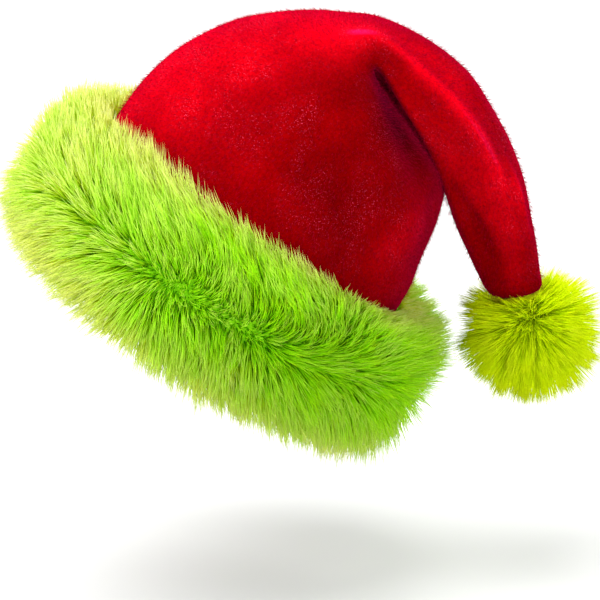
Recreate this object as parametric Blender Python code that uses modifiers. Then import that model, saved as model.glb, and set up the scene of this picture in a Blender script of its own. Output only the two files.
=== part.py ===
"""Santa hat as it is worn: a plush crown whose point folds over and hangs, a deep fur cuff and a fur pompom.

Run it with blender --background --python part.py, or from Blender's text editor. Units are metres, +Z is up.

The hat is modelled upright on its rim in the frame of the empty worn_lean, and that empty leans it back as a
head wears it. Its origin is the middle of the head opening. The wearer faces -X, and the point hangs at +X.
"""

import math

import bmesh
import bpy
import numpy as np
from mathutils import Vector

MM = 0.001

LEAN_BACK = math.radians(33.0)

WALL = 2.5 * MM
SECTIONS_PER_ROW = 2
POINTS_ROUND_CROWN = 28

# The crown's rows from the rim to the end of the point, in millimetres, upright on the rim. Front and back are
# the two sides of the outline in the middle plane, and side is half the width across it. Square is the power of
# the section's curve, 2 for an ellipse, and drape is how far its two sides hang towards the back outline.
CROWN_COLUMNS = ("front_x", "front_z", "back_x", "back_z", "side", "square", "drape")
CROWN_ROWS = (
    (-97.5, 0.0, 97.5, 0.0, 85.0, 2.0, 0.0),
    (-97.5, 40.0, 97.5, 40.0, 85.0, 2.0, 0.0),
    (-97.5, 80.0, 97.5, 80.0, 85.0, 2.0, 0.0),
    (-94.5, 103.9, 92.8, 102.7, 84.0, 2.0, 0.0),
    (-86.4, 128.4, 88.2, 127.2, 80.0, 2.0, 0.0),
    (-71.3, 153.6, 80.0, 145.8, 71.0, 2.0, 0.0),
    (-56.8, 170.3, 62.6, 156.5, 61.0, 2.1, 0.0),
    (-37.7, 185.8, 38.3, 166.0, 50.0, 2.2, 0.0),
    (-22.0, 195.4, 19.7, 173.5, 41.0, 2.3, 0.0),
    (-5.8, 202.0, 8.5, 180.0, 36.0, 2.4, 1.5),
    (11.6, 204.4, 12.8, 182.5, 34.5, 2.5, 6.0),
    (32.5, 204.5, 30.9, 177.4, 34.0, 2.6, 10.0),
    (54.0, 201.5, 45.6, 170.9, 33.0, 2.6, 12.0),
    (76.5, 195.5, 59.6, 161.9, 31.0, 2.5, 11.0),
    (98.5, 185.5, 75.6, 151.0, 28.0, 2.4, 8.0),
    (117.5, 172.0, 91.6, 140.8, 24.0, 2.3, 4.0),
    (133.0, 157.5, 105.6, 131.6, 20.0, 2.2, 1.0),
    (143.5, 144.0, 118.9, 124.3, 17.0, 2.0, 0.0),
    (152.7, 131.6, 132.2, 115.9, 14.5, 2.0, 0.0),
    (158.5, 124.0, 142.8, 108.4, 11.0, 2.0, 0.0),
    (159.0, 119.8, 149.1, 109.6, 7.0, 2.0, 0.0),
)

# Soft swells, and dents where rise is below nothing, in millimetres. Each lies on a row of the table above, at an
# angle from the front outline towards -Y, and fades out over its rows and degrees.
SWELL_COLUMNS = ("row", "fade_rows", "angle_deg", "fade_deg", "rise")
SWELLS = (
    (4.6, 0.9, 118, 16, 2.5),
    (5.6, 0.9, 132, 13, -2.5),
    (3.6, 0.7, 140, 13, 2.5),
    (4.4, 0.6, 158, 11, -2.0),
    (6.6, 0.8, 60, 18, 1.5),
    (13.0, 1.5, 128, 16, -2.5),
    (15.5, 1.3, 122, 20, -4.0),
    (16.5, 1.0, 62, 18, 1.5),
    (5.2, 0.9, 235, 16, 2.5),
    (6.0, 0.8, 215, 14, -2.5),
    (14.0, 1.6, 238, 18, -2.5),
)

# The cuff's rows from its top edge, round the outside, to its bottom edge, in millimetres. Pile is the face that
# the fur grows from, out from the crown's wall, and tip is where the locks below that row end. They are combed
# sideways, towards the front on the -Y side.
CUFF_COLUMNS = ("pile_out", "pile_z", "tip_out", "tip_z")
CUFF_ROWS = (
    (0.8, 70.0, 8.0, 82.0),
    (6.0, 69.5, 20.0, 82.0),
    (11.5, 66.0, 32.0, 76.0),
    (15.5, 59.0, 39.5, 66.0),
    (18.0, 50.0, 43.5, 53.0),
    (19.0, 40.0, 45.0, 39.0),
    (19.0, 30.0, 43.5, 24.0),
    (17.5, 19.0, 40.0, 9.0),
    (14.0, 9.0, 32.0, -6.0),
    (8.0, 2.0, 19.0, -15.0),
    (0.8, 0.0, 0.8, 0.0),
)
LOCKS_ROUND_CUFF = 40
CUFF_COMB = 12.0 * MM
COMB_STEP = 0.01
LOCK_WAIST_AT = 0.42
LOCK_WAIST_WIDTH = 0.62
LOCK_LENGTH_SPREAD = 0.12

POMPOM_CENTRE = (171.4 * MM, 0.0, 99.5 * MM)
POMPOM_CORE_RADIUS = 23.0 * MM
POMPOM_FUR_RADIUS = 41.5 * MM
POMPOM_BARE_ANGLE = math.radians(40.0)

PLUSH_ROUGHNESS = 0.9
FUR_ROUGHNESS = 0.8
RED_PLUSH = (0.62, 0.004, 0.012, 1.0)
LIME_FUR = (0.33, 0.62, 0.02, 1.0)
YELLOW_LIME_FUR = (0.50, 0.66, 0.01, 1.0)


def clear_scene():
    for old in list(bpy.data.objects):
        bpy.data.objects.remove(old, do_unlink=True)


def cloth_material(name, colour, roughness):
    material = bpy.data.materials.new(name)
    material.use_nodes = True
    shader = material.node_tree.nodes["Principled BSDF"]
    shader.inputs["Base Color"].default_value = colour
    shader.inputs["Roughness"].default_value = roughness
    shader.inputs["Metallic"].default_value = 0.0
    material.diffuse_color = colour
    return material


def smooth_rows(rows, between):
    """The table's rows with more put between them, on a Catmull-Rom curve through them."""
    rows = np.array(rows, float)
    padded = np.vstack((2 * rows[0] - rows[1], rows, 2 * rows[-1] - rows[-2]))
    found = []
    for i in range(len(rows) - 1):
        before, start, end, after = padded[i : i + 4]
        for step in range(between):
            t = step / between
            found.append(
                start
                + 0.5 * t * (end - before)
                + t * t * (before - 2.5 * start + 2 * end - 0.5 * after)
                + t**3 * (1.5 * (start - end) + 0.5 * (after - before))
            )
    found.append(rows[-1])
    return found


def swell_rise(place, angle_deg):
    """How far the crown stands out at a row of the table and an angle, in millimetres."""
    rise = 0.0
    for values in SWELLS:
        swell = dict(zip(SWELL_COLUMNS, values))
        along = (place - swell["row"]) / swell["fade_rows"]
        turn = (angle_deg - swell["angle_deg"] + 180) % 360 - 180
        rise += swell["rise"] * math.exp(-(along**2) - (turn / swell["fade_deg"]) ** 2)
    return rise


def crown_section(row, place, points):
    """One closed section of the crown, in the plane across its front and back points. Place is its row."""
    at = dict(zip(CROWN_COLUMNS, row))
    front = np.array((at["front_x"], 0.0, at["front_z"]))
    back = np.array((at["back_x"], 0.0, at["back_z"]))
    across = (front - back) / 2
    square = at["square"]
    section = []
    for k in range(points):
        angle = 2 * math.pi * k / points
        forward = math.copysign(abs(math.cos(angle)) ** (2 / square), math.cos(angle))
        sideways = math.copysign(abs(math.sin(angle)) ** (2 / square), math.sin(angle))
        outward = forward * across - sideways * np.array((0.0, at["side"], 0.0))
        rise = swell_rise(place, math.degrees(angle))
        point = (front + back) / 2 + outward * (1 + rise / np.linalg.norm(outward))
        point -= across / np.linalg.norm(across) * at["drape"] * sideways**2
        section.append(point * MM)
    return section


def loft(bm, sections, closed_end):
    """Quads between closed sections, with a fan over the last one where the end is closed."""
    rings = [[bm.verts.new(point) for point in section] for section in sections]
    count = len(rings[0])
    for lower, upper in zip(rings, rings[1:]):
        for k in range(count):
            following = (k + 1) % count
            bm.faces.new((lower[k], lower[following], upper[following], upper[k]))
    if closed_end:
        pole = bm.verts.new(np.mean(sections[-1], axis=0))
        for k in range(count):
            bm.faces.new((rings[-1][k], rings[-1][(k + 1) % count], pole))


def add_object(name, bm, material, parent, collection):
    bmesh.ops.recalc_face_normals(bm, faces=bm.faces)
    mesh = bpy.data.meshes.new(name)
    bm.to_mesh(mesh)
    bm.free()
    mesh.materials.append(material)
    mesh.shade_smooth()
    made = bpy.data.objects.new(name, mesh)
    made.parent = parent
    collection.objects.link(made)
    return made


def make_crown(parent, collection):
    """One sewn plush bag, open at the rim and gathered shut at the end of its point."""
    bm = bmesh.new()
    rows = smooth_rows(CROWN_ROWS, SECTIONS_PER_ROW)
    sections = [
        crown_section(row, i / SECTIONS_PER_ROW, POINTS_ROUND_CROWN) for i, row in enumerate(rows)
    ]
    loft(bm, sections, closed_end=True)
    crown = add_object(
        "crown", bm, cloth_material("red_plush", RED_PLUSH, PLUSH_ROUGHNESS), parent, collection
    )
    wall = crown.modifiers.new("wall", "SOLIDIFY")
    wall.thickness = WALL
    wall.offset = -1.0
    wall.use_even_offset = True
    return crown


def wall_point(angle, z):
    """A point of the crown's outer wall inside the cuff, and its outward direction, in millimetres."""
    rim = dict(zip(CROWN_COLUMNS, CROWN_ROWS[0]))
    length = rim["back_x"]
    side = rim["side"]
    point = np.array((-length * math.cos(angle), -side * math.sin(angle), z))
    outward = np.array((-math.cos(angle) / length, -math.sin(angle) / side, 0.0))
    return point, outward / np.linalg.norm(outward)


def cuff_point(angle, out, z):
    point, outward = wall_point(angle, z)
    return Vector((point + outward * out) * MM)


def raise_lock(bm, face, tip, comb):
    """Turns one face into a pointed lock: its waist is drawn in and raised, and its point is combed sideways."""
    root = face.calc_center_median()
    bmesh.ops.inset_individual(bm, faces=[face], thickness=0.0, depth=0.0)
    rise = (tip - root) * LOCK_WAIST_AT + comb * LOCK_WAIST_AT**2
    for vert in face.verts:
        vert.co = root + (vert.co - root) * LOCK_WAIST_WIDTH + rise
    poked = bmesh.ops.poke(bm, faces=[face])
    poked["verts"][0].co = tip + comb


def make_cuff(parent, collection):
    """A ring of fur fabric round the crown's lower edge: its backing, with the pile as locks fused to it."""
    chance = np.random.default_rng(5)
    bm = bmesh.new()
    angles = [2 * math.pi * k / LOCKS_ROUND_CUFF for k in range(LOCKS_ROUND_CUFF)]
    rings = [
        [bm.verts.new(cuff_point(angle, row[0], row[1])) for angle in angles]
        for row in CUFF_ROWS
    ]
    growing = []
    for i, (upper, lower) in enumerate(zip(rings, rings[1:] + rings[:1])):
        for k, angle in enumerate(angles):
            following = (k + 1) % LOCKS_ROUND_CUFF
            face = bm.faces.new((upper[k], upper[following], lower[following], lower[k]))
            if i < len(rings) - 1:
                growing.append((face, i, angle + math.pi / LOCKS_ROUND_CUFF))
    bmesh.ops.recalc_face_normals(bm, faces=bm.faces)
    for face, i, angle in growing:
        row = dict(zip(CUFF_COLUMNS, CUFF_ROWS[i]))
        length = 1 + LOCK_LENGTH_SPREAD * chance.uniform(-1, 1)
        root = face.calc_center_median()
        tip = cuff_point(angle, row["tip_out"], row["tip_z"])
        ahead = cuff_point(angle - COMB_STEP, row["tip_out"], row["tip_z"])
        comb = (ahead - tip).normalized() * CUFF_COMB * length
        raise_lock(bm, face, root.lerp(tip, length), comb)
    return add_object(
        "fur_cuff", bm, cloth_material("lime_fur", LIME_FUR, FUR_ROUGHNESS), parent, collection
    )


def make_pompom(parent, collection):
    """A ball of fur: a round core with locks fused to it, bare where the point of the crown is sewn on."""
    chance = np.random.default_rng(8)
    bm = bmesh.new()
    bmesh.ops.create_icosphere(bm, subdivisions=3, radius=POMPOM_CORE_RADIUS)
    end = dict(zip(CROWN_COLUMNS, CROWN_ROWS[-1]))
    end_x = (end["front_x"] + end["back_x"]) / 2 * MM
    end_z = (end["front_z"] + end["back_z"]) / 2 * MM
    sewn_at = Vector((end_x, 0.0, end_z)) - Vector(POMPOM_CENTRE)
    bmesh.ops.recalc_face_normals(bm, faces=bm.faces)
    for face in list(bm.faces):
        out = face.calc_center_median().normalized()
        if out.angle(sewn_at) < POMPOM_BARE_ANGLE:
            continue
        length = POMPOM_FUR_RADIUS * (1 - LOCK_LENGTH_SPREAD * chance.uniform(0, 1))
        raise_lock(bm, face, out * length, Vector())
    fur = cloth_material("yellow_lime_fur", YELLOW_LIME_FUR, FUR_ROUGHNESS)
    pompom = add_object("pompom", bm, fur, parent, collection)
    pompom.location = POMPOM_CENTRE
    return pompom


def main():
    clear_scene()
    collection = bpy.data.collections.new("santa_hat")
    bpy.context.scene.collection.children.link(collection)
    lean = bpy.data.objects.new("worn_lean", None)
    lean.rotation_euler = (0.0, LEAN_BACK, 0.0)
    collection.objects.link(lean)
    make_crown(lean, collection)
    make_cuff(lean, collection)
    make_pompom(lean, collection)


main()
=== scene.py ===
"""Santa hat, dressed: a red plush crown with its point folded over, a combed faux-fur cuff and a fur pompom."""

import math

import bpy
import numpy as np
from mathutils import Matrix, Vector, noise


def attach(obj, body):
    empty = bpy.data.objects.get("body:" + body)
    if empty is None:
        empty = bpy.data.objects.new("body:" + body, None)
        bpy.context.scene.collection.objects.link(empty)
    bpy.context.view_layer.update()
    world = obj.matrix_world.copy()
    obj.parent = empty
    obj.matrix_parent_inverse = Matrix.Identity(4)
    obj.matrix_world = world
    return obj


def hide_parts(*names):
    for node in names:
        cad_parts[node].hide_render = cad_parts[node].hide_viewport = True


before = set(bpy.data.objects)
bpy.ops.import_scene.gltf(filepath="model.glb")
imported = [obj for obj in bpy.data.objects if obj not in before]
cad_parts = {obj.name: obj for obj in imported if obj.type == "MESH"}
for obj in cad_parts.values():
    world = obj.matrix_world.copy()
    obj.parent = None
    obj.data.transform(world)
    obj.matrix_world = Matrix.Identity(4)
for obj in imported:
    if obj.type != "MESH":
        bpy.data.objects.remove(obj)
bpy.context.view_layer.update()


# ---- Crown
# The crown is a bag of short-pile plush, sewn from shaped panels and worn tipped back. Its point is folded over
# at the top, hangs down behind and is gathered shut where the pompom is sewn on. Its lower edge is the headband
# inside the cuff.
MM = 0.001
LEAN_BACK = math.radians(33.0)
WALL = 2.5 * MM
SECTIONS_PER_ROW = 6
POINTS_ROUND = 132
NO_LENGTH = 1e-12

# Rows from the rim to the end of the point, in millimetres, upright on the rim: the outline's front and back
# points in the middle plane, half the width across it, the power of the section's curve (2 for an ellipse), and
# how far the section's two sides hang towards its back point.
CROWN_COLUMNS = ("front_x", "front_z", "back_x", "back_z", "side", "square", "drape")
CROWN_ROWS = (
    (-97.5, 0.0, 97.5, 0.0, 85.0, 2.0, 0.0),
    (-97.5, 40.0, 97.5, 40.0, 85.0, 2.0, 0.0),
    (-97.5, 80.0, 97.5, 80.0, 85.0, 2.0, 0.0),
    (-95.5, 104.5, 92.8, 102.7, 84.0, 2.0, 0.0),
    (-88.2, 129.6, 88.2, 127.2, 80.0, 2.0, 0.0),
    (-73.2, 155.4, 80.0, 145.8, 71.0, 2.0, 0.0),
    (-57.6, 171.2, 63.4, 157.6, 61.0, 2.1, 0.0),
    (-38.0, 186.0, 38.8, 167.2, 50.0, 2.2, 0.0),
    (-22.0, 194.9, 19.7, 173.5, 41.0, 2.3, 0.0),
    (-5.8, 203.2, 8.5, 180.0, 36.0, 2.5, 1.5),
    (11.6, 207.6, 12.8, 182.5, 34.5, 2.8, 5.5),
    (33.8, 209.0, 30.9, 177.4, 34.5, 3.1, 10.5),
    (57.5, 205.8, 45.6, 170.9, 33.5, 3.3, 11.0),
    (78.9, 196.6, 58.6, 161.2, 31.0, 3.3, 8.0),
    (99.4, 185.4, 73.6, 149.6, 28.0, 3.0, 6.0),
    (117.9, 171.5, 87.9, 137.6, 24.5, 2.6, 4.0),
    (132.4, 157.0, 100.2, 127.8, 21.0, 2.3, 1.0),
    (144.4, 145.0, 113.0, 119.6, 18.0, 2.1, 0.0),
    (154.5, 133.6, 126.4, 111.2, 16.0, 2.0, 0.0),
    (161.5, 125.6, 138.6, 105.2, 13.5, 2.0, 0.0),
    (159.0, 119.8, 149.1, 109.6, 7.0, 2.0, 0.0),
)

# Folds and hollows of the cloth: the row where each is deepest, how many rows it fades over, its angle from the
# front outline towards -Y, how many degrees it fades over, its slant in degrees a row, and its height in mm.
FOLD_COLUMNS = ("row", "fade_rows", "angle_deg", "fade_deg", "slant", "rise")
FOLDS = (
    (4.6, 0.9, 116, 15, -8, 4.0),
    (5.5, 0.9, 133, 12, -8, -3.5),
    (3.5, 0.8, 138, 12, -6, 3.5),
    (4.4, 0.7, 158, 11, 0, -3.0),
    (7.3, 1.4, 130, 20, 0, -5.0),
    (6.6, 0.8, 60, 18, 0, 1.5),
    (9.2, 1.0, 48, 10, 0, 2.2),
    (10.7, 1.1, 56, 9, 0, 3.0),
    (12.2, 1.1, 58, 9, 0, 3.0),
    (13.7, 1.1, 59, 9, 0, 3.0),
    (15.1, 1.0, 38, 10, 0, 2.4),
    (12.6, 2.2, 84, 13, 0, -3.0),
    (12.4, 2.4, 28, 14, 0, -1.5),
    (15.6, 1.7, 112, 20, 0, -6.0),
    (16.5, 1.0, 62, 18, 0, 1.5),
    (5.2, 0.9, 235, 16, 0, 3.0),
    (6.0, 0.8, 215, 14, 0, -3.0),
    (14.0, 1.6, 238, 18, 0, -2.5),
)


def smooth_rows(rows, between):
    """The table's rows with more put between them, on a Catmull-Rom curve through them."""
    rows = np.array(rows, float)
    padded = np.vstack((2 * rows[0] - rows[1], rows, 2 * rows[-1] - rows[-2]))
    found = []
    for i in range(len(rows) - 1):
        before, start, end, after = padded[i : i + 4]
        for step in range(between):
            t = step / between
            found.append(
                start
                + 0.5 * t * (end - before)
                + t * t * (before - 2.5 * start + 2 * end - 0.5 * after)
                + t**3 * (1.5 * (start - end) + 0.5 * (after - before))
            )
    found.append(rows[-1])
    return np.array(found)


def lean(points):
    """Turns points from upright on the rim to the way the hat is worn."""
    points = np.asarray(points, float)
    turned = points.copy()
    turned[..., 0] = points[..., 0] * math.cos(LEAN_BACK) + points[..., 2] * math.sin(LEAN_BACK)
    turned[..., 2] = points[..., 2] * math.cos(LEAN_BACK) - points[..., 0] * math.sin(LEAN_BACK)
    return turned


def off_centre(angle, centre):
    """The turn from centre to angle, in degrees from -180 to 180."""
    return (angle - centre + 180) % 360 - 180


def crown_points():
    """The crown's outer surface as an array of sections by points round, in metres, and each section's row."""
    rows = smooth_rows(CROWN_ROWS, SECTIONS_PER_ROW)
    places = np.arange(len(rows)) / SECTIONS_PER_ROW
    angle = np.linspace(0, 2 * np.pi, POINTS_ROUND, endpoint=False)
    sections = []
    for place, row in zip(places, rows):
        at = dict(zip(CROWN_COLUMNS, row))
        front = np.array((at["front_x"], 0.0, at["front_z"]))
        back = np.array((at["back_x"], 0.0, at["back_z"]))
        across = (front - back) / 2
        power = 2 / at["square"]
        forward = np.sign(np.cos(angle)) * np.abs(np.cos(angle)) ** power
        sideways = np.sign(np.sin(angle)) * np.abs(np.sin(angle)) ** power
        outward = forward[:, None] * across - sideways[:, None] * np.array((0.0, at["side"], 0.0))
        rise = np.zeros(POINTS_ROUND)
        for values in FOLDS:
            fold = dict(zip(FOLD_COLUMNS, values))
            along = (place - fold["row"]) / fold["fade_rows"]
            centre = fold["angle_deg"] + fold["slant"] * (place - fold["row"])
            turn = off_centre(np.degrees(angle), centre)
            rise += fold["rise"] * np.exp(-(along**2) - (turn / fold["fade_deg"]) ** 2)
        unit = outward / np.linalg.norm(outward, axis=1, keepdims=True)
        point = (front + back) / 2 + outward + unit * rise[:, None]
        point -= across / np.linalg.norm(across) * (at["drape"] * sideways**2)[:, None]
        sections.append(point * MM)
    return np.array(sections), places


def grid_normals(grid):
    """Outward unit normals of a grid that closes round its second axis."""
    along = np.gradient(grid, axis=0)
    round_it = np.roll(grid, -1, axis=1) - np.roll(grid, 1, axis=1)
    normal = np.cross(round_it, along)
    return normal / (np.linalg.norm(normal, axis=2, keepdims=True) + NO_LENGTH)


def ring_faces(sections, count, start=0, flip=False):
    """Quads between sections of count points each, numbered from start."""
    faces = []
    for i in range(sections - 1):
        for k in range(count):
            a = start + i * count + k
            b = start + i * count + (k + 1) % count
            quad = (a, b, b + count, a + count)
            faces.append(quad[::-1] if flip else quad)
    return faces


def new_piece(name, points, faces, material):
    """A smooth mesh object at the origin, in the scene."""
    mesh = bpy.data.meshes.new(name)
    mesh.from_pydata([tuple(p) for p in points], [], faces)
    mesh.materials.append(material)
    mesh.shade_smooth()
    mesh.update()
    piece = bpy.data.objects.new(name, mesh)
    bpy.context.scene.collection.objects.link(piece)
    return piece


def put(tree, kind, inputs=None, **settings):
    """Adds a node, with its settings, and its inputs by name or number as values or as sockets to link."""
    made = tree.nodes.new(kind)
    for key, value in settings.items():
        setattr(made, key, value)
    for socket, value in (inputs or {}).items():
        if isinstance(value, bpy.types.NodeSocket):
            tree.links.new(value, made.inputs[socket])
        else:
            made.inputs[socket].default_value = value
    return made


def ramp(tree, factor, stops):
    """A colour ramp with stops of (place, colour)."""
    made = put(tree, "ShaderNodeValToRGB", {0: factor})
    elements = made.color_ramp.elements
    while len(elements) < len(stops):
        elements.new(0.5)
    for element, (place, colour) in zip(elements, stops):
        element.position = place
        element.color = (*colour, 1.0)
    return made.outputs[0]


def blended(tree, factor, first, second, blend_type="MIX"):
    """Two colours mixed, multiplied or added."""
    made = put(tree, "ShaderNodeMix", {0: factor, 6: first, 7: second}, data_type="RGBA", blend_type=blend_type)
    return made.outputs[2]


def new_material(name):
    """A material and its emptied node tree."""
    material = bpy.data.materials.new(name)
    material.use_nodes = True
    tree = material.node_tree
    tree.nodes.clear()
    return material, tree


def plush_material():
    """Red plush with painted light and shade: darker in painted shade, paler and pinker in painted highlights,
    painted pink glints of single hairs, and a pink sheen where the pile is edge on.
    """
    material, tree = new_material("red_plush_cloth")
    place = put(tree, "ShaderNodeTexCoord").outputs["Object"]
    brushed = put(tree, "ShaderNodeTexNoise", {"Vector": place, "Scale": 26.0, "Detail": 2.0, "Roughness": 0.5})
    streaks = put(tree, "ShaderNodeTexNoise", {"Vector": place, "Scale": 520.0, "Detail": 3.0, "Roughness": 0.7})
    hairs = put(tree, "ShaderNodeTexNoise", {"Vector": place, "Scale": 1700.0, "Detail": 1.0, "Roughness": 0.5})
    glints = put(tree, "ShaderNodeTexNoise", {"Vector": place, "Scale": 32.0, "Detail": 3.0, "Roughness": 0.7})
    painted_light_and_shade = put(tree, "ShaderNodeAttribute", attribute_name="painted_light_and_shade").outputs["Fac"]
    # The base red is painted: darkest for painted shade, plain in between, lighter for painted light and pink for a
    # painted highlight.
    painted_shade_red = (0.02, 0.0001, 0.0002)
    across = (0.21, 0.0001, 0.0006)
    painted_lit_red = (0.60, 0.0004, 0.006)
    painted_highlight_pink = (0.72, 0.006, 0.085)
    base = ramp(tree, painted_light_and_shade, ((0.0, painted_shade_red), (0.5, across), (0.86, painted_lit_red), (1.0, painted_highlight_pink)))
    mottle = ramp(tree, brushed.outputs[0], ((0.35, (0.78, 0.78, 0.78)), (0.65, (1.15, 1.15, 1.15))))
    base = blended(tree, 1.0, base, mottle, "MULTIPLY")
    shade = ramp(tree, streaks.outputs[0], ((0.30, (0.62, 0.6, 0.6)), (0.70, (1.2, 1.2, 1.2))))
    base = blended(tree, 0.8, base, shade, "MULTIPLY")
    # Painted glints: pink specks of single hairs, in patches, added to the red as painted highlights.
    single = ramp(tree, hairs.outputs[0], ((0.64, (0.0, 0.0, 0.0)), (0.74, (0.8, 0.07, 0.16))))
    patches = ramp(tree, glints.outputs[0], ((0.48, (0.0, 0.0, 0.0)), (0.66, (1.0, 1.0, 1.0))))
    painted_glints = blended(tree, 1.0, single, patches, "MULTIPLY")
    base = blended(tree, 0.7, base, painted_glints, "ADD")
    bump_far = put(tree, "ShaderNodeBump", {"Height": streaks.outputs[0], "Strength": 0.45, "Distance": 0.0010})
    bump = put(
        tree,
        "ShaderNodeBump",
        {"Height": hairs.outputs[0], "Strength": 0.5, "Distance": 0.0006, "Normal": bump_far.outputs[0]},
    )
    shader = put(
        tree,
        "ShaderNodeBsdfPrincipled",
        {
            "Base Color": base,
            "Roughness": 0.8,
            "Normal": bump.outputs[0],
            "Specular IOR Level": 0.0,
            "Sheen Weight": 0.30,
            "Sheen Roughness": 0.32,
            "Sheen Tint": (1.0, 0.006, 0.12, 1.0),
        },
    )
    put(tree, "ShaderNodeOutputMaterial", {"Surface": shader.outputs[0]})
    return material


crown_outer, crown_places = crown_points()
crown_normals = grid_normals(crown_outer)
crown_rings = len(crown_outer)
crown_inner = crown_outer - crown_normals * WALL
outer_end = crown_outer[-1].mean(axis=0)
inner_end = crown_inner[-1].mean(axis=0) + (crown_outer[-2].mean(axis=0) - outer_end) * 0.5
crown_verts = np.vstack(
    (crown_outer.reshape(-1, 3), crown_inner.reshape(-1, 3), outer_end[None], inner_end[None])
)
crown_faces = ring_faces(crown_rings, POINTS_ROUND)
inner_start = crown_rings * POINTS_ROUND
crown_faces += ring_faces(crown_rings, POINTS_ROUND, inner_start, flip=True)
for k in range(POINTS_ROUND):
    following = (k + 1) % POINTS_ROUND
    last = (crown_rings - 1) * POINTS_ROUND
    crown_faces.append((last + k, last + following, 2 * inner_start))
    crown_faces.append((inner_start + last + following, inner_start + last + k, 2 * inner_start + 1))
    crown_faces.append((following, k, inner_start + k, inner_start + following))
plush = plush_material()
crown = new_piece("crown_plush", lean(crown_verts), crown_faces, plush)

# Painted light and shade on the crown's red, from 0 to 1, on both sides of the head alike: painted light in front
# and along the folded point, a painted pink highlight on its ridge, and painted shade beside the fold, where the
# point overhangs the dome, and low on both sides.
UNPAINTED_LEVEL = 0.50
PAINTED_LIGHT_COLUMNS = ("row", "fade_rows", "angle_deg", "fade_deg", "change")
PAINTED_LIGHT_PATCHES = (
    (5.0, 4.0, 0, 60, 0.26),
    (8.0, 1.6, 50, 30, 0.14),
    (4.4, 1.8, 104, 26, -0.14),
    (7.0, 1.5, 127, 22, -0.55),
    (8.8, 1.0, 150, 26, -0.40),
    (5.6, 1.2, 150, 20, -0.14),
    (3.6, 0.9, 138, 14, 0.16),
    (5.0, 0.7, 114, 12, 0.10),
    (14.5, 4.0, 80, 60, 0.18),
    (8.6, 0.9, 42, 10, 0.24),
    (10.2, 1.2, 55, 9, 0.26),
    (12.2, 1.3, 58, 9, 0.22),
    (13.9, 1.1, 59, 9, 0.20),
    (15.2, 0.9, 38, 10, 0.20),
    (10.6, 1.8, 26, 16, 0.16),
    (12.6, 2.2, 86, 12, -0.08),
    (16.2, 2.0, 116, 18, -0.22),
)
crown_degrees = np.linspace(0, 360, POINTS_ROUND, endpoint=False)
painted_light_of_crown = np.full(crown_outer.shape[:2], UNPAINTED_LEVEL)
for values in PAINTED_LIGHT_PATCHES:
    patch = dict(zip(PAINTED_LIGHT_COLUMNS, values))
    along = ((crown_places - patch["row"]) / patch["fade_rows"])[:, None]
    for side in (1, -1):
        turn = off_centre(crown_degrees, side * patch["angle_deg"])[None, :] / patch["fade_deg"]
        share = 0.5 if patch["angle_deg"] == 0 else 1.0
        painted_light_of_crown += share * patch["change"] * np.exp(-(along**2) - turn**2)
painted_light_of_crown = np.clip(painted_light_of_crown, 0.0, 1.0).ravel()
painted_light_layer = crown.data.attributes.new("painted_light_and_shade", "FLOAT", "POINT")
painted_light_layer.data.foreach_set("value", np.concatenate((painted_light_of_crown, painted_light_of_crown, (UNPAINTED_LEVEL, UNPAINTED_LEVEL))))
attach(crown, "root")
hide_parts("crown")


# ---- The crown's pile
# Short plush hairs that stand along the outline and catch the light. They are woven into the cloth and brushed
# towards the rim on the dome and towards the pompom on the hanging point.
PILE_HAIRS_PER_M2 = 240000.0
PILE_LOCKS_PER_M2 = 20000.0
PILE_LENGTH = 2.6 * MM
PILE_WIDTH = 0.20 * MM
PILE_FIRST_ROW = 2
PILE_FOLDS_AT_ROW = 9.0
PILE_FOLDS_OVER_ROWS = 2.0
PILE_STANDING = 0.8
PILE_BRUSHED = 0.6
PILE_LONGER_ON_POINT = 0.25
SHORT_HAIR_PARTS = 1
LONG_HAIR_PARTS = 3

# How one hair and its lock are made, all but the seed steps as shares: where its middle lies on its way, how
# strongly its end is pulled to its lock's end at least, how much less its middle is, how much of its tone is its
# own, how much it swells on the way up, and how much of the flattened picture one hair's width takes.
HAIR_MIDDLE = 0.30
LEAST_PULL = 0.35
MIDDLE_PULL = 0.45
OWN_TONE = 0.45
SWELL = 1.2
FLAT_HAIR_WIDTH = 0.02
FLAT_TONE_RANGE = 0.94
LOCK_SEED_STEP = 11
WILD_SEED_STEP = 3
PULL_SEED_STEP = 5
HAIR_TONE_SEED_STEP = 7
FACING_SEED_STEP = 8
LOCK_TONE_SEED_STEP = 9


def vec(tree, operation, first, second=None, scale=None):
    """A sum on vectors."""
    inputs = {0: first}
    if second is not None:
        inputs[1] = second
    if scale is not None:
        inputs[3] = scale
    made = put(tree, "ShaderNodeVectorMath", inputs, operation=operation)
    return made.outputs[1 if operation == "LENGTH" else 0]


def num(tree, operation, first, second=None):
    """A sum on numbers."""
    inputs = {0: first}
    if second is not None:
        inputs[1] = second
    return put(tree, "ShaderNodeMath", inputs, operation=operation).outputs[0]


def stored(tree, geometry, name, value, kind="FLOAT_VECTOR", domain="POINT"):
    """The geometry with a named attribute set on it."""
    inputs = {"Geometry": geometry, "Name": name, "Value": value}
    made = put(tree, "GeometryNodeStoreNamedAttribute", inputs, data_type=kind, domain=domain)
    return made.outputs[0]


def read(tree, name, kind="FLOAT_VECTOR"):
    """A named attribute's value."""
    return put(tree, "GeometryNodeInputNamedAttribute", {"Name": name}, data_type=kind).outputs[0]


def chance(tree, low, high, seed, kind="FLOAT", number=None):
    """A random number or vector for each point, or for each value of number."""
    first, second, out = {"FLOAT": (2, 3, 1), "FLOAT_VECTOR": (0, 1, 0)}[kind]
    made = put(tree, "FunctionNodeRandomValue", {first: low, second: high, "Seed": seed}, data_type=kind)
    if number is not None:
        tree.links.new(number, made.inputs["ID"])
    return made.outputs[out]


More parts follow.
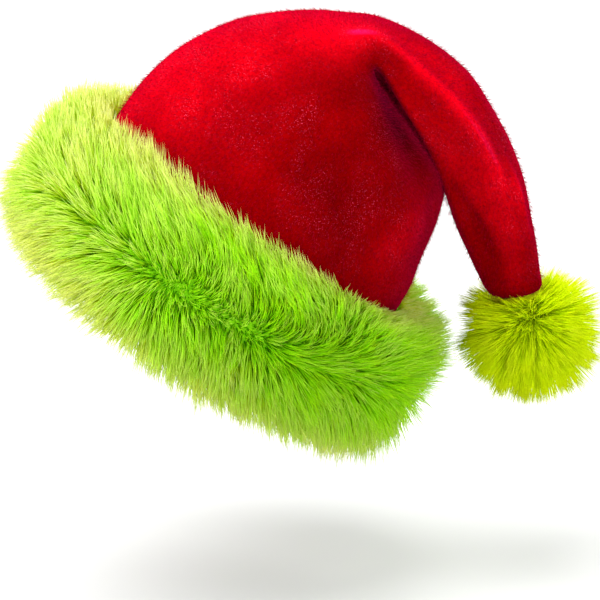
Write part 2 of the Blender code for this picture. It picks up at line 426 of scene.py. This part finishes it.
def set_roots(tree, cloth, inputs, density, seed):
    """Scatters hair roots on the cloth, and gives each the middle and the end of its curve."""
    scattered = put(
        tree, "GeometryNodeDistributePointsOnFaces", {"Mesh": cloth, "Density": density, "Seed": seed}
    )
    root = put(tree, "GeometryNodeInputPosition").outputs[0]
    way = read(tree, "hair_way")
    length = vec(tree, "LENGTH", way)
    spread = inputs["Length spread"]
    share = chance(tree, num(tree, "SUBTRACT", 1.0, spread), num(tree, "ADD", 1.0, spread), seed)
    wild = chance(tree, (-1.0, -1.0, -1.0), (1.0, 1.0, 1.0), num(tree, "ADD", seed, WILD_SEED_STEP), "FLOAT_VECTOR")
    wild = vec(tree, "SCALE", wild, scale=num(tree, "MULTIPLY", length, inputs["Wildness"]))
    end = vec(tree, "ADD", vec(tree, "ADD", root, vec(tree, "SCALE", way, scale=share)), wild)
    rise = vec(tree, "SCALE", scattered.outputs["Normal"], scale=num(tree, "MULTIPLY", length, inputs["Lift"]))
    middle = vec(tree, "ADD", vec(tree, "ADD", root, rise), vec(tree, "SCALE", way, scale=HAIR_MIDDLE))
    points = stored(tree, scattered.outputs["Points"], "hair_end", end)
    return stored(tree, points, "hair_middle", middle)


def hair_group(segments):
    """Geometry Nodes for combed hair: a cloth mesh with a hair_way vector in, and closed tapering hairs out."""
    tree = bpy.data.node_groups.new("combed_hair", "GeometryNodeTree")
    tree.interface.new_socket("Geometry", in_out="INPUT", socket_type="NodeSocketGeometry")
    for label, kind in (
        ("Hairs per m2", "Float"),
        ("Locks per m2", "Float"),
        ("Root width", "Float"),
        ("Length spread", "Float"),
        ("Wildness", "Float"),
        ("Lift", "Float"),
        ("Clumping", "Float"),
        ("Seed", "Int"),
        ("Material", "Material"),
    ):
        tree.interface.new_socket(label, in_out="INPUT", socket_type="NodeSocket" + kind)
    tree.interface.new_socket("Geometry", in_out="OUTPUT", socket_type="NodeSocketGeometry")
    inputs = put(tree, "NodeGroupInput").outputs
    cloth = inputs["Geometry"]
    hairs = set_roots(tree, cloth, inputs, inputs["Hairs per m2"], inputs["Seed"])
    seed = inputs["Seed"]
    locks = set_roots(tree, cloth, inputs, inputs["Locks per m2"], num(tree, "ADD", seed, LOCK_SEED_STEP))

    root = put(tree, "GeometryNodeInputPosition").outputs[0]
    nearest = put(tree, "GeometryNodeSampleNearest", {"Geometry": locks, "Sample Position": root}, domain="POINT")
    nearest = nearest.outputs[0]
    pull = chance(tree, LEAST_PULL, 1.0, num(tree, "ADD", seed, PULL_SEED_STEP))
    pull = num(tree, "MULTIPLY", pull, inputs["Clumping"])
    for name, share in (("hair_end", 1.0), ("hair_middle", MIDDLE_PULL)):
        of_lock = put(
            tree,
            "GeometryNodeSampleIndex",
            {"Geometry": locks, "Value": read(tree, name), "Index": nearest},
            data_type="FLOAT_VECTOR",
            domain="POINT",
        ).outputs[0]
        mixed = put(
            tree,
            "ShaderNodeMix",
            {0: num(tree, "MULTIPLY", pull, share), 4: read(tree, name), 5: of_lock},
            data_type="VECTOR",
        ).outputs[1]
        hairs = stored(tree, hairs, name + "_drawn", mixed)
    hairs = stored(tree, hairs, "hair_root", root)
    of_hair = chance(tree, 0.0, 1.0, num(tree, "ADD", seed, HAIR_TONE_SEED_STEP))
    of_lock = chance(tree, 0.0, 1.0, num(tree, "ADD", seed, LOCK_TONE_SEED_STEP), number=nearest)
    of_hair = num(tree, "MULTIPLY", of_hair, OWN_TONE)
    tone = num(tree, "ADD", of_hair, num(tree, "MULTIPLY", of_lock, 1.0 - OWN_TONE))
    hairs = stored(tree, hairs, "tone", tone, "FLOAT")
    facing_seed = num(tree, "ADD", seed, FACING_SEED_STEP)
    facing = chance(tree, (-1.0, -1.0, -1.0), (1.0, 1.0, 1.0), facing_seed, "FLOAT_VECTOR")
    hairs = stored(tree, hairs, "hair_facing", facing)

    needle = put(
        tree,
        "GeometryNodeMeshCone",
        {
            "Vertices": 3,
            "Side Segments": segments,
            "Fill Segments": 1,
            "Radius Top": 0.0,
            "Radius Bottom": 1.0,
            "Depth": 1.0,
        },
        fill_type="NGON",
    ).outputs[0]
    needle = stored(tree, needle, "hair_local", root)
    placed = put(tree, "GeometryNodeInstanceOnPoints", {"Points": hairs, "Instance": needle}).outputs[0]
    real = put(tree, "GeometryNodeRealizeInstances", {"Geometry": placed}).outputs[0]

    local = put(tree, "ShaderNodeSeparateXYZ", {0: read(tree, "hair_local")}).outputs
    along = local["Z"]
    start, middle, end = (read(tree, name) for name in ("hair_root", "hair_middle_drawn", "hair_end_drawn"))
    back = num(tree, "SUBTRACT", 1.0, along)
    spine = vec(tree, "SCALE", start, scale=num(tree, "MULTIPLY", back, back))
    bend = num(tree, "MULTIPLY", num(tree, "MULTIPLY", along, back), 2.0)
    spine = vec(tree, "ADD", spine, vec(tree, "SCALE", middle, scale=bend))
    spine = vec(tree, "ADD", spine, vec(tree, "SCALE", end, scale=num(tree, "MULTIPLY", along, along)))
    run = vec(tree, "SUBTRACT", end, start)
    side = vec(tree, "NORMALIZE", vec(tree, "CROSS_PRODUCT", run, read(tree, "hair_facing")))
    over = vec(tree, "NORMALIZE", vec(tree, "CROSS_PRODUCT", side, run))
    swollen = num(tree, "ADD", 1.0, num(tree, "MULTIPLY", along, SWELL))
    width = num(tree, "MULTIPLY", num(tree, "MULTIPLY", inputs["Root width"], 0.5), swollen)
    offset = vec(tree, "SCALE", side, scale=num(tree, "MULTIPLY", local["X"], width))
    offset = vec(tree, "ADD", offset, vec(tree, "SCALE", over, scale=num(tree, "MULTIPLY", local["Y"], width)))
    shaped = put(
        tree, "GeometryNodeSetPosition", {"Geometry": real, "Position": vec(tree, "ADD", spine, offset)}
    ).outputs[0]
    shaped = stored(tree, shaped, "along", along, "FLOAT")
    across = num(tree, "MULTIPLY", num(tree, "ADD", local["X"], 1.0), FLAT_HAIR_WIDTH)
    across = num(tree, "ADD", num(tree, "MULTIPLY", read(tree, "tone", "FLOAT"), FLAT_TONE_RANGE), across)
    flat = put(tree, "ShaderNodeCombineXYZ", {0: across, 1: along}).outputs[0]
    shaped = stored(tree, shaped, "OFBake", flat, "FLOAT2", "CORNER")
    for name in ("hair_local", "hair_root", "hair_facing", "hair_end*", "hair_middle*"):
        wildcard = "WILDCARD" if "*" in name else "EXACT"
        shaped = put(
            tree, "GeometryNodeRemoveAttribute", {"Geometry": shaped, "Name": name}, pattern_mode=wildcard
        ).outputs[0]
    shaped = put(tree, "GeometryNodeSetShadeSmooth", {"Geometry": shaped}).outputs[0]
    shaped = put(tree, "GeometryNodeSetMaterial", {"Geometry": shaped, "Material": inputs["Material"]}).outputs[0]
    tree.links.new(shaped, put(tree, "NodeGroupOutput").inputs[0])
    return tree


def grow_hair(name, group, points, faces, ways, tone_and_painted_light=None, **sizes):
    """Grows hair on a patch of cloth, each point's hair going its own way, and returns the hair as a plain mesh."""
    patch = new_piece("patch_" + name, points, faces, sizes["Material"])
    way = patch.data.attributes.new("hair_way", "FLOAT_VECTOR", "POINT")
    way.data.foreach_set("vector", np.asarray(ways, float).ravel())
    # Paleness for each point: painted light on the fur, and a paler or richer tone at random.
    if tone_and_painted_light is not None:
        layer = patch.data.attributes.new("tone_and_painted_light", "FLOAT", "POINT")
        layer.data.foreach_set("value", np.asarray(tone_and_painted_light, float).ravel())
    grower = patch.modifiers.new("hair", "NODES")
    grower.node_group = group
    for item in group.interface.items_tree:
        if item.in_out == "INPUT" and item.name in sizes:
            grower[item.identifier] = sizes[item.name]
    depsgraph = bpy.context.evaluated_depsgraph_get()
    mesh = bpy.data.meshes.new_from_object(patch.evaluated_get(depsgraph))
    mesh.name = name
    hair = bpy.data.objects.new(name, mesh)
    bpy.context.scene.collection.objects.link(hair)
    bpy.data.objects.remove(patch, do_unlink=True)
    return hair


def pile_material():
    """The plush's single hairs: the cloth's red, a little paler and pinker at their ends."""
    material, tree = new_material("red_plush_pile")
    along = put(tree, "ShaderNodeAttribute", attribute_name="along").outputs["Fac"]
    tone = put(tree, "ShaderNodeAttribute", attribute_name="tone").outputs["Fac"]
    body = ramp(tree, along, ((0.0, (0.16, 0.0001, 0.001)), (1.0, (0.55, 0.002, 0.032))))
    single = ramp(tree, tone, ((0.2, (0.7, 0.7, 0.7)), (0.9, (1.2, 1.5, 1.8))))
    shader = put(
        tree,
        "ShaderNodeBsdfPrincipled",
        {
            "Base Color": blended(tree, 0.8, body, single, "MULTIPLY"),
            "Roughness": 0.7,
            "Specular IOR Level": 0.0,
            "Sheen Weight": 0.3,
            "Sheen Roughness": 0.3,
            "Sheen Tint": (1.0, 0.01, 0.12, 1.0),
        },
    )
    put(tree, "ShaderNodeOutputMaterial", {"Surface": shader.outputs[0]})
    return material


short_hair = hair_group(SHORT_HAIR_PARTS)
long_hair = hair_group(LONG_HAIR_PARTS)
first_pile = PILE_FIRST_ROW * SECTIONS_PER_ROW
pile_cloth = crown_outer[first_pile:]
pile_rings = len(pile_cloth)
brushed = np.gradient(pile_cloth, axis=0)
brushed /= np.linalg.norm(brushed, axis=2, keepdims=True) + NO_LENGTH
folded = (crown_places[first_pile:] - PILE_FOLDS_AT_ROW) / PILE_FOLDS_OVER_ROWS
folded = np.clip(folded, -1, 1)[:, None, None]
longer = 1.0 + PILE_LONGER_ON_POINT * np.clip(folded, 0, 1)
pile_way = crown_normals[first_pile:] * PILE_STANDING + brushed * folded * PILE_BRUSHED
pile_way = pile_way * longer * PILE_LENGTH
pile = grow_hair(
    "crown_pile",
    short_hair,
    lean(pile_cloth).reshape(-1, 3),
    ring_faces(pile_rings, POINTS_ROUND),
    lean(pile_way).reshape(-1, 3),
    **{
        "Hairs per m2": PILE_HAIRS_PER_M2,
        "Locks per m2": PILE_LOCKS_PER_M2,
        "Root width": PILE_WIDTH,
        "Length spread": 0.4,
        "Wildness": 0.35,
        "Lift": 0.5,
        "Clumping": 0.1,
        "Seed": 4,
        "Material": pile_material(),
    },
)
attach(pile, "root")


# ---- Cuff
# A deep band of long-pile faux fur sewn round the rim. Its cloth is turned over on itself, so that it stands
# off the headband, and its pile parts along the middle: above, it is combed up over the plush, and below, down
# over the rim.

# Rows from the seam down to the rim, in millimetres: how far the cloth stands out from the headband and its
# height over the rim, and the same for the ends of the hairs that grow there.
CUFF_ROWS = (
    (0.8, 70.0, 6.0, 85.0),
    (6.0, 69.5, 15.0, 87.0),
    (11.5, 66.0, 25.0, 85.0),
    (15.5, 59.0, 34.0, 79.0),
    (18.0, 50.0, 40.0, 68.0),
    (19.0, 40.0, 43.5, 50.0),
    (19.0, 30.0, 43.5, 18.0),
    (17.5, 19.0, 38.0, 0.0),
    (14.0, 9.0, 30.0, -11.0),
    (8.0, 2.0, 18.0, -17.0),
    (0.8, 0.0, 6.0, -11.0),
)
CUFF_RINGS_PER_ROW = 3
CUFF_POINTS_ROUND = 168
CUFF_HAIRS_PER_M2 = 640000.0
CUFF_LOCKS_PER_M2 = 45000.0
CUFF_HAIR_WIDTH = 0.60 * MM
CUFF_QUARTERS = ("front", "left", "back", "right")
CUFF_FIRST_SEED = 20
CUFF_WIDEST = (19.0, 40.0)
SMALL_TURN = 0.01
FUR_SEE_THROUGH = 0.5


def fur_material(name, root, body, tip, pale_root, pale_body, pale_tip):
    """Long pile: darker at the roots, paler and see-through at the tips, each lock of its own tone, and paler still
    where the cloth carries painted light.
    """
    material, tree = new_material(name)
    along = put(tree, "ShaderNodeAttribute", attribute_name="along").outputs["Fac"]
    tone = put(tree, "ShaderNodeAttribute", attribute_name="tone").outputs["Fac"]
    tone_and_painted_light = put(tree, "ShaderNodeAttribute", attribute_name="tone_and_painted_light").outputs["Fac"]
    rich = ramp(tree, along, ((0.0, root), (0.45, body), (1.0, tip)))
    # The pale colours, mixed in for painted light and for paler locks.
    pale_ramp = ramp(tree, along, ((0.0, pale_root), (0.40, pale_body), (1.0, pale_tip)))
    ranges = {"Value": tone, "From Min": 0.2, "From Max": 0.8, "To Min": -0.2, "To Max": 0.3}
    of_lock = put(tree, "ShaderNodeMapRange", ranges).outputs[0]
    share = put(tree, "ShaderNodeMath", {0: tone_and_painted_light, 1: of_lock}, operation="ADD", use_clamp=True).outputs[0]
    colour = blended(tree, share, rich, pale_ramp)
    shader = put(
        tree,
        "ShaderNodeBsdfPrincipled",
        {
            "Base Color": colour,
            "Roughness": 0.6,
            "Specular IOR Level": 0.03,
        },
    )
    through = put(tree, "ShaderNodeBsdfTranslucent", {"Color": colour})
    mixed = put(tree, "ShaderNodeMixShader", {0: FUR_SEE_THROUGH, 1: shader.outputs[0], 2: through.outputs[0]})
    put(tree, "ShaderNodeOutputMaterial", {"Surface": mixed.outputs[0]})
    return material


def fur_cloth_material(name, dark, light):
    """The cloth under the fur, hidden but for glints between the hairs."""
    material, tree = new_material(name)
    place = put(tree, "ShaderNodeTexCoord").outputs["Object"]
    mottle = put(tree, "ShaderNodeTexNoise", {"Vector": place, "Scale": 260.0, "Detail": 3.0}).outputs[0]
    bump = put(tree, "ShaderNodeBump", {"Height": mottle, "Strength": 0.8, "Distance": 0.002})
    shader = put(
        tree,
        "ShaderNodeBsdfPrincipled",
        {
            "Base Color": ramp(tree, mottle, ((0.35, dark), (0.7, light))),
            "Roughness": 0.9,
            "Normal": bump.outputs[0],
            "Specular IOR Level": 0.1,
        },
    )
    put(tree, "ShaderNodeOutputMaterial", {"Surface": shader.outputs[0]})
    return material


def cuff_place(angle, out, z):
    """Points out from the headband's wall, upright on the rim, from arrays of angles and millimetres."""
    length, side = CROWN_ROWS[0][2], CROWN_ROWS[0][4]
    outward = np.stack((-np.cos(angle) / length, -np.sin(angle) / side, 0 * angle), axis=-1)
    outward /= np.linalg.norm(outward, axis=-1, keepdims=True)
    wall = np.stack((-length * np.cos(angle), -side * np.sin(angle), 0 * angle + z), axis=-1)
    return (wall + outward * out) * MM


cuff_rows = smooth_rows(CUFF_ROWS, CUFF_RINGS_PER_ROW)
cuff_angle = np.arange(CUFF_POINTS_ROUND) * 2 * np.pi / CUFF_POINTS_ROUND
cuff_cloth = np.array([cuff_place(cuff_angle, out, z) for out, z in cuff_rows[:, :2]])
cuff_tips = np.array([cuff_place(cuff_angle, out, z) for out, z in cuff_rows[:, 2:]])
to_front = cuff_place(cuff_angle - SMALL_TURN, *CUFF_WIDEST) - cuff_place(cuff_angle + SMALL_TURN, *CUFF_WIDEST)
to_front /= np.linalg.norm(to_front, axis=-1, keepdims=True)
cuff_rings = len(cuff_cloth)
cuff_down = np.linspace(0.0, 1.0, cuff_rings)[:, None]
from_front = np.abs(off_centre(np.degrees(cuff_angle), 0))[None, :]


def hump(value, middle, spread):
    """1 where value is at the middle, fading to 0 over the spread."""
    return np.exp(-(((value - middle) / spread) ** 2))


def rising(value, low, high):
    """0 up to low, 1 from high on, and a smooth rise between."""
    share = np.clip((value - low) / (high - low), 0.0, 1.0)
    return share * share * (3 - 2 * share)


# The pile parts along a line on each side of the head. Above the line it is combed up and forwards, and up and
# backwards at the nape. Below it is combed down and forwards at the brow, and down and backwards from the ear on.
# Heights on the band are shares from 0 at the seam to 1 at the rim.
PARTING_DOWN = 0.46
PARTING_WIDTH = 0.17
PARTING_WANDER = 0.10
COMB_WANDER = 0.50
WANDERS_ROUND = 3.5
WANDERS_DOWN = 3.0
COMBED_SIDEWAYS = 33.0 * MM
COMBED_LEAST = 0.30
COMBED_OVER = 0.27
COMBED_FLAT = 0.50
FLAT_OVER = 0.26


def wander_at(angle, down):
    """A slow chance change from -1 to 1 over the band."""
    round_it = (WANDERS_ROUND * math.cos(angle), WANDERS_ROUND * math.sin(angle))
    return noise.noise(Vector((*round_it, WANDERS_DOWN * down)))


wander = np.array([[wander_at(angle, down) for angle in cuff_angle] for down in cuff_down[:, 0]])
above = 0.5 + 0.5 * np.tanh((PARTING_DOWN + PARTING_WANDER * wander - cuff_down) / PARTING_WIDTH)
forwards_above = 1.0 - 1.5 * rising(from_front, 118, 160)
forwards_below = 0.7 - 1.5 * rising(from_front, 38, 104)
sideways = forwards_above * above + forwards_below * (1 - above) + COMB_WANDER * wander
at_side = np.sin(cuff_angle) * np.abs(np.sin(cuff_angle))
strength = COMBED_LEAST + (1 - COMBED_LEAST) * hump(cuff_down, PARTING_DOWN, COMBED_OVER)

# The pile is a little shorter than its rows say: more so at the brow, at the nape's seam and low behind the ear,
# and less so in the middle of the band at the nape.
fullness = 0.90 - 0.15 * hump(from_front, 0, 50)
fullness = fullness + 0.25 * hump(from_front, 168, 32) * hump(cuff_down, 0.60, 0.30)
fullness -= 0.24 * hump(from_front, 180, 45) * (1 - cuff_down) ** 2
fullness -= 0.12 * hump(from_front, 125, 28) * hump(cuff_down, 0.88, 0.2)
cuff_way = (cuff_tips - cuff_cloth) * fullness[..., None]

# Along the seam it reaches higher over the plush beside the brow, and less high in front and at the nape.
at_seam = 1 - rising(cuff_down, 0.05, 0.35)
seam_rise = 4.5 * hump(from_front, 52, 26) - 5.5 * rising(from_front, 100, 145) - 3.5 * hump(from_front, 0, 22)
cuff_way[..., 2] += at_seam * seam_rise * MM
cuff_outward = (cuff_place(cuff_angle, 1.0, 0.0) - cuff_place(cuff_angle, 0.0, 0.0)) / MM
standing = (cuff_way * cuff_outward).sum(axis=-1, keepdims=True)
flattened = COMBED_FLAT * np.abs(at_side) * hump(cuff_down, PARTING_DOWN, FLAT_OVER)
cuff_way = cuff_way - cuff_outward * standing * flattened[..., None]
cuff_way = cuff_way + to_front * (COMBED_SIDEWAYS * sideways * at_side * strength)[..., None]

# The pile is painted pale where light falls on it and glows through its tips: along both edges of the band and at
# the brow, so that its middle keeps the rich colour where shade falls in among the locks. It is also a little paler
# at the nape, and paler or richer at random.
painted_light_seam = 0.75 * (1 - rising(cuff_down, 0.02, 0.34))
painted_light_rim = 0.72 * rising(cuff_down, 0.58, 0.86)
painted_light_brow = 0.55 * hump(from_front, 0, 58) + 0.34 * hump(from_front, 46, 24)
pale_nape = 0.25 * hump(from_front, 180, 30)
pale_chance = 0.25 * wander
cuff_tone_and_painted_light = np.clip(painted_light_seam + painted_light_rim + painted_light_brow + pale_nape + pale_chance, 0.0, 1.0)

fur_cloth = fur_cloth_material("lime_fur_cloth", (0.16, 0.52, 0.002), (0.30, 0.74, 0.004))
cuff_faces = ring_faces(cuff_rings, CUFF_POINTS_ROUND, flip=True)
for k in range(CUFF_POINTS_ROUND):
    following = (k + 1) % CUFF_POINTS_ROUND
    last = (cuff_rings - 1) * CUFF_POINTS_ROUND
    cuff_faces.append((following, k, last + k, last + following)[::-1])
backing = new_piece("cuff_backing", lean(cuff_cloth).reshape(-1, 3), cuff_faces, fur_cloth)
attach(backing, "root")
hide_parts("fur_cuff")

lime_fur = fur_material(
    "lime_fur_pile",
    root=(0.24, 0.70, 0.002),
    body=(0.42, 0.88, 0.003),
    tip=(0.62, 0.94, 0.012),
    pale_root=(0.52, 0.80, 0.003),
    pale_body=(0.81, 0.91, 0.03),
    pale_tip=(0.84, 0.87, 0.38),
)
quarter = CUFF_POINTS_ROUND // 4
for number, side_name in enumerate(CUFF_QUARTERS):
    first = number * quarter - quarter // 2
    columns = np.arange(first, first + quarter + 1) % CUFF_POINTS_ROUND
    width = len(columns)
    faces = []
    for i in range(cuff_rings - 1):
        for k in range(width - 1):
            a = i * width + k
            faces.append((a, a + width, a + width + 1, a + 1))
    fur = grow_hair(
        "cuff_fur_" + side_name,
        long_hair,
        lean(cuff_cloth[:, columns]).reshape(-1, 3),
        faces,
        lean(cuff_way[:, columns]).reshape(-1, 3),
        cuff_tone_and_painted_light[:, columns],
        **{
            "Hairs per m2": CUFF_HAIRS_PER_M2,
            "Locks per m2": CUFF_LOCKS_PER_M2,
            "Root width": CUFF_HAIR_WIDTH,
            "Length spread": 0.32,
            "Wildness": 0.27,
            "Lift": 0.34,
            "Clumping": 0.60,
            "Seed": CUFF_FIRST_SEED + number,
            "Material": lime_fur,
        },
    )
    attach(fur, "root")


# ---- Pompom
# A stuffed ball of the same long-pile fur in a yellower dye, sewn on the gathered end of the point. Its pile
# stands out all round and is bare only where the plush enters.
POMPOM_CENTRE = np.array((171.4, 0.0, 99.5)) * MM
POMPOM_CORE = 25.0 * MM
POMPOM_HAIRS_PER_M2 = 1050000.0
POMPOM_LOCKS_PER_M2 = 40000.0
POMPOM_HAIR_WIDTH = 0.72 * MM
POMPOM_BARE = math.radians(25.0)
POMPOM_STANDING = 18.4 * MM
POMPOM_COMBED = 13.0 * MM
POMPOM_RINGS = 40
POMPOM_POINTS = 64
POMPOM_CREST = (-0.53, -0.24, 0.81)
CREST_SOFTNESS = 0.15
BROAD_TUFTS = (2.6, 0.50)
SMALL_TUFTS = (7.0, 0.30)

pompom_polar = np.linspace(0.0, np.pi, POMPOM_RINGS)
pompom_turn = np.arange(POMPOM_POINTS) * 2 * np.pi / POMPOM_POINTS
sewn = outer_end - POMPOM_CENTRE
sewn /= np.linalg.norm(sewn)
across = np.array((0.0, 1.0, 0.0))
third = np.cross(sewn, across)
directions = np.array(
    [
        [
            sewn * np.cos(polar) + (across * np.cos(turn) + third * np.sin(turn)) * np.sin(polar)
            for turn in pompom_turn
        ]
        for polar in pompom_polar
    ]
)
core_verts = POMPOM_CENTRE + directions[1:-1].reshape(-1, 3) * POMPOM_CORE
core_verts = np.vstack(
    (core_verts, POMPOM_CENTRE + sewn * POMPOM_CORE, POMPOM_CENTRE - sewn * POMPOM_CORE)
)
core_faces = ring_faces(POMPOM_RINGS - 2, POMPOM_POINTS)
top_pole = len(core_verts) - 2
for k in range(POMPOM_POINTS):
    following = (k + 1) % POMPOM_POINTS
    last = (POMPOM_RINGS - 3) * POMPOM_POINTS
    core_faces.append((following, k, top_pole))
    core_faces.append((last + k, last + following, top_pole + 1))
pompom_cloth = fur_cloth_material("yellow_lime_cloth", (0.56, 0.72, 0.001), (0.74, 0.88, 0.001))
core = new_piece("pompom_core", lean(core_verts), core_faces, pompom_cloth)
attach(core, "root")
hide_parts("pompom")

furred = pompom_polar > POMPOM_BARE
ball = directions[furred]

# The pile is combed away from its crest, which lies beside the plush's end, and in chance tufts.
crest = np.array(POMPOM_CREST) / np.linalg.norm(POMPOM_CREST)
away = ball * (ball @ crest)[..., None] - crest
away /= np.sqrt((away**2).sum(axis=-1, keepdims=True) + CREST_SOFTNESS)
tuft_shifts = (Vector((0.0, 0.0, 0.0)), Vector((11.3, 0.0, 0.0)), Vector((0.0, 17.9, 0.0)))


def tuft_at(point):
    """How far the pile is pushed aside at a point of the ball, in broad tufts and in small ones."""
    pushed = []
    for shift in tuft_shifts:
        (broad, broad_push), (small, small_push) = BROAD_TUFTS, SMALL_TUFTS
        at_broad = noise.noise(Vector(point) * broad + shift)
        at_small = noise.noise(Vector(point) * small + shift)
        pushed.append(broad_push * at_broad + small_push * at_small)
    return pushed


tuft = np.array([[tuft_at(point) for point in ring] for ring in ball])
pompom_way = lean(ball * POMPOM_STANDING + (away + tuft) * POMPOM_COMBED)
pompom_fur = grow_hair(
    "pompom_fur",
    long_hair,
    lean(POMPOM_CENTRE + ball * POMPOM_CORE).reshape(-1, 3),
    ring_faces(len(ball), POMPOM_POINTS),
    pompom_way.reshape(-1, 3),
    **{
        "Hairs per m2": POMPOM_HAIRS_PER_M2,
        "Locks per m2": POMPOM_LOCKS_PER_M2,
        "Root width": POMPOM_HAIR_WIDTH,
        "Length spread": 0.10,
        "Wildness": 0.14,
        "Lift": 0.4,
        "Clumping": 0.5,
        "Seed": 40,
        "Material": fur_material(
            "yellow_lime_pile",
            root=(0.70, 0.86, 0.0008),
            body=(0.82, 0.97, 0.001),
            tip=(0.86, 0.98, 0.003),
            pale_root=(0.76, 0.90, 0.001),
            pale_body=(0.88, 0.98, 0.004),
            pale_tip=(0.94, 0.98, 0.06),
        ),
    },
)
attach(pompom_fur, "root")


# ---- Floor, light and camera
# The hat floats over a plain pale floor, as if worn, with its soft shadow below it.
FLOOR_Z = -0.150
FLOOR_SIZE = 24.0
FLOOR_GREY = (0.60, 0.60, 0.60, 1.0)
WORLD_WHITE = (1.0, 1.0, 1.0, 1.0)
WORLD_STRENGTH = 0.40
VIEW_TARGET = Vector((0.0638, 0.0, 0.0082))
VIEW_ELEVATION = math.radians(16.5)
VIEW_DISTANCE = 1.5
LENS_MM = 155.0
SENSOR_MM = 36.0

bpy.ops.mesh.primitive_plane_add(size=FLOOR_SIZE, location=(0.0, 0.0, FLOOR_Z))
floor = bpy.context.object
floor.name = "floor"
floor_material, floor_tree = new_material("pale_floor")
floor_shader = put(
    floor_tree,
    "ShaderNodeBsdfPrincipled",
    {"Base Color": FLOOR_GREY, "Roughness": 0.9, "Specular IOR Level": 0.1},
)
put(floor_tree, "ShaderNodeOutputMaterial", {"Surface": floor_shader.outputs[0]})
floor.data.materials.append(floor_material)

world = bpy.data.worlds.new("studio")
world.use_nodes = True
world.node_tree.nodes["Background"].inputs["Color"].default_value = WORLD_WHITE
world.node_tree.nodes["Background"].inputs["Strength"].default_value = WORLD_STRENGTH
bpy.context.scene.world = world


def soft_light(name, place, strength, spread):
    """A far soft light that shines from the side of place, as wide as spread in degrees."""
    light = bpy.data.lights.new(name, "SUN")
    light.energy = strength
    light.angle = math.radians(spread)
    lamp = bpy.data.objects.new(name, light)
    lamp.rotation_euler = Vector(place).to_track_quat("Z", "Y").to_euler()
    bpy.context.scene.collection.objects.link(lamp)


soft_light("overhead_light", (-0.24, 0.04, 1.0), 3.9, 54.0)
soft_light("left_light", (-1.5, -0.45, 0.8), 2.8, 30.0)
soft_light("front_light", (0.3, -1.7, 0.25), 2.6, 40.0)
soft_light("back_light", (0.9, 1.0, 0.9), 1.8, 30.0)
bpy.context.scene.view_settings.view_transform = "Standard"

camera = bpy.data.objects.new("camera", bpy.data.cameras.new("camera"))
camera.data.sensor_width = SENSOR_MM
camera.data.lens = LENS_MM
toward = Vector((0.0, math.cos(VIEW_ELEVATION), -math.sin(VIEW_ELEVATION)))
camera.location = VIEW_TARGET - toward * VIEW_DISTANCE
camera.rotation_euler = toward.to_track_quat("-Z", "Y").to_euler()
bpy.context.scene.collection.objects.link(camera)
bpy.context.scene.camera = camera
